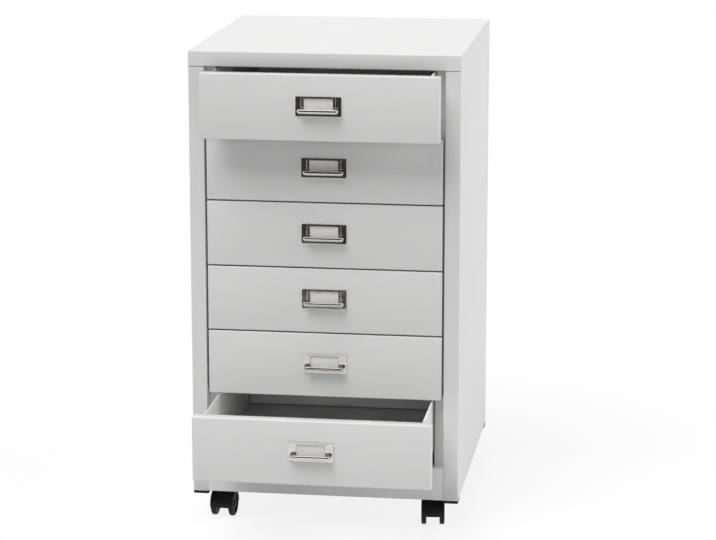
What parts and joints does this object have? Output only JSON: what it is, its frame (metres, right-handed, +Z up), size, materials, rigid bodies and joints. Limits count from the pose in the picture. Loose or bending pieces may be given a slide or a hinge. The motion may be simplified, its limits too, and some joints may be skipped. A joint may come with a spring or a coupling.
{
  "type": "office drawer cabinet",
  "caption": "Upright steel cabinet with a stack of shallow drawers behind label-holder pulls, standing on swivelling twin-wheel casters, with its top and bottom drawers partly open.",
  "frame": {"origin": "centre of the rest pose's footprint, open drawers included, on the floor", "axes": "+X to the viewer's right across the front, -Y out of the drawer fronts, +Z up"},
  "size_m": [0.39, 0.5738, 0.695],
  "materials": {
    "white_paint": "satin powder coat with a fine orange-peel texture",
    "zinc_plate": "zinc-plated steel",
    "bright_plate": "bright nickel plate",
    "label_paper": "matt white card",
    "black_plastic": "moulded black plastic",
    "wheel_tread": "black wheel with a worn tread"
  },
  "bodies": {
    "carcass": {"top_panel": "white_paint", "left_side_panel": "white_paint", "right_side_panel": "white_paint", "back_panel": "white_paint", "base_panel": "white_paint", "plinth_rail": "white_paint", "corner_feet": "black_plastic", "rear_uprights": "white_paint", "left_rails": "zinc_plate", "right_rails": "zinc_plate", "back_screws": "zinc_plate", "caster_plates": "zinc_plate", "caster_pins": "zinc_plate", "caster_screws": "zinc_plate"},
    "drawer_1": {"drawer_1_front": "white_paint", "drawer_1_tray": "white_paint", "drawer_1_glides": "black_plastic", "drawer_1_pull": "bright_plate", "drawer_1_label_card": "label_paper"},
    "drawer_2": {"drawer_2_front": "white_paint", "drawer_2_tray": "white_paint", "drawer_2_glides": "black_plastic", "drawer_2_pull": "bright_plate", "drawer_2_label_card": "label_paper"},
    "drawer_3": {"drawer_3_front": "white_paint", "drawer_3_tray": "white_paint", "drawer_3_glides": "black_plastic", "drawer_3_pull": "bright_plate", "drawer_3_label_card": "label_paper"},
    "drawer_4": {"drawer_4_front": "white_paint", "drawer_4_tray": "white_paint", "drawer_4_glides": "black_plastic", "drawer_4_pull": "bright_plate", "drawer_4_label_card": "label_paper"},
    "drawer_5": {"drawer_5_front": "white_paint", "drawer_5_tray": "white_paint", "drawer_5_glides": "black_plastic", "drawer_5_pull": "bright_plate", "drawer_5_label_card": "label_paper"},
    "drawer_6": {"drawer_6_front": "white_paint", "drawer_6_tray": "white_paint", "drawer_6_glides": "black_plastic", "drawer_6_pull": "bright_plate", "drawer_6_label_card": "label_paper"},
    "caster_front_left": {"caster_front_left_hood": "black_plastic", "caster_front_left_axle": "zinc_plate"},
    "caster_front_left_left_wheel": {"caster_front_left_left_wheel": "wheel_tread"},
    "caster_front_left_right_wheel": {"caster_front_left_right_wheel": "wheel_tread"},
    "caster_front_right": {"caster_front_right_hood": "black_plastic", "caster_front_right_axle": "zinc_plate"},
    "caster_front_right_left_wheel": {"caster_front_right_left_wheel": "wheel_tread"},
    "caster_front_right_right_wheel": {"caster_front_right_right_wheel": "wheel_tread"},
    "caster_back_left": {"caster_back_left_hood": "black_plastic", "caster_back_left_axle": "zinc_plate"},
    "caster_back_left_left_wheel": {"caster_back_left_left_wheel": "wheel_tread"},
    "caster_back_left_right_wheel": {"caster_back_left_right_wheel": "wheel_tread"},
    "caster_back_right": {"caster_back_right_hood": "black_plastic", "caster_back_right_axle": "zinc_plate"},
    "caster_back_right_left_wheel": {"caster_back_right_left_wheel": "wheel_tread"},
    "caster_back_right_right_wheel": {"caster_back_right_right_wheel": "wheel_tread"}
  },
  "joints": [
    {"name": "drawer_1_slide", "type": "slide", "parent": "carcass", "child": "drawer_1", "axis": [0, -1, 0], "range_m": [-0.048, 0.242]},
    {"name": "drawer_2_slide", "type": "slide", "parent": "carcass", "child": "drawer_2", "axis": [0, -1, 0], "range_m": [0, 0.29]},
    {"name": "drawer_3_slide", "type": "slide", "parent": "carcass", "child": "drawer_3", "axis": [0, -1, 0], "range_m": [0, 0.29]},
    {"name": "drawer_4_slide", "type": "slide", "parent": "carcass", "child": "drawer_4", "axis": [0, -1, 0], "range_m": [0, 0.29]},
    {"name": "drawer_5_slide", "type": "slide", "parent": "carcass", "child": "drawer_5", "axis": [0, -1, 0], "range_m": [0, 0.29]},
    {"name": "drawer_6_slide", "type": "slide", "parent": "carcass", "child": "drawer_6", "axis": [0, -1, 0], "range_m": [-0.128, 0.162]},
    {"name": "caster_front_left_swivel", "type": "hinge", "parent": "carcass", "child": "caster_front_left", "pos_m": [-0.154, -0.0989, 0.045], "axis": [0, 0, 1], "continuous": true},
    {"name": "caster_front_left_left_wheel_spin", "type": "hinge", "parent": "caster_front_left", "child": "caster_front_left_left_wheel", "pos_m": [-0.15512, -0.11486, 0.019], "axis": [0.9976, -0.0698, 0], "continuous": true},
    {"name": "caster_front_left_right_wheel_spin", "type": "hinge", "parent": "caster_front_left", "child": "caster_front_left_right_wheel", "pos_m": [-0.15512, -0.11486, 0.019], "axis": [0.9976, -0.0698, 0], "continuous": true},
    {"name": "caster_front_right_swivel", "type": "hinge", "parent": "carcass", "child": "caster_front_right", "pos_m": [0.154, -0.0989, 0.045], "axis": [0, 0, 1], "continuous": true},
    {"name": "caster_front_right_left_wheel_spin", "type": "hinge", "parent": "caster_front_right", "child": "caster_front_right_left_wheel", "pos_m": [0.15567, -0.11481, 0.019], "axis": [0.9945, 0.1045, 0], "continuous": true},
    {"name": "caster_front_right_right_wheel_spin", "type": "hinge", "parent": "caster_front_right", "child": "caster_front_right_right_wheel", "pos_m": [0.15567, -0.11481, 0.019], "axis": [0.9945, 0.1045, 0], "continuous": true},
    {"name": "caster_back_left_swivel", "type": "hinge", "parent": "carcass", "child": "caster_back_left", "pos_m": [-0.154, 0.2351, 0.045], "axis": [0, 0, 1], "continuous": true},
    {"name": "caster_back_left_left_wheel_spin", "type": "hinge", "parent": "caster_back_left", "child": "caster_back_left_left_wheel", "pos_m": [-0.16051, 0.22048, 0.019], "axis": [0.9135, -0.4067, 0], "continuous": true},
    {"name": "caster_back_left_right_wheel_spin", "type": "hinge", "parent": "caster_back_left", "child": "caster_back_left_right_wheel", "pos_m": [-0.16051, 0.22048, 0.019], "axis": [0.9135, -0.4067, 0], "continuous": true},
    {"name": "caster_back_right_swivel", "type": "hinge", "parent": "carcass", "child": "caster_back_right", "pos_m": [0.154, 0.2351, 0.045], "axis": [0, 0, 1], "continuous": true},
    {"name": "caster_back_right_left_wheel_spin", "type": "hinge", "parent": "caster_back_right", "child": "caster_back_right_left_wheel", "pos_m": [0.14482, 0.22199, 0.019], "axis": [0.8192, -0.5736, 0], "continuous": true},
    {"name": "caster_back_right_right_wheel_spin", "type": "hinge", "parent": "caster_back_right", "child": "caster_back_right_right_wheel", "pos_m": [0.14482, 0.22199, 0.019], "axis": [0.8192, -0.5736, 0], "continuous": true}
  ]
}
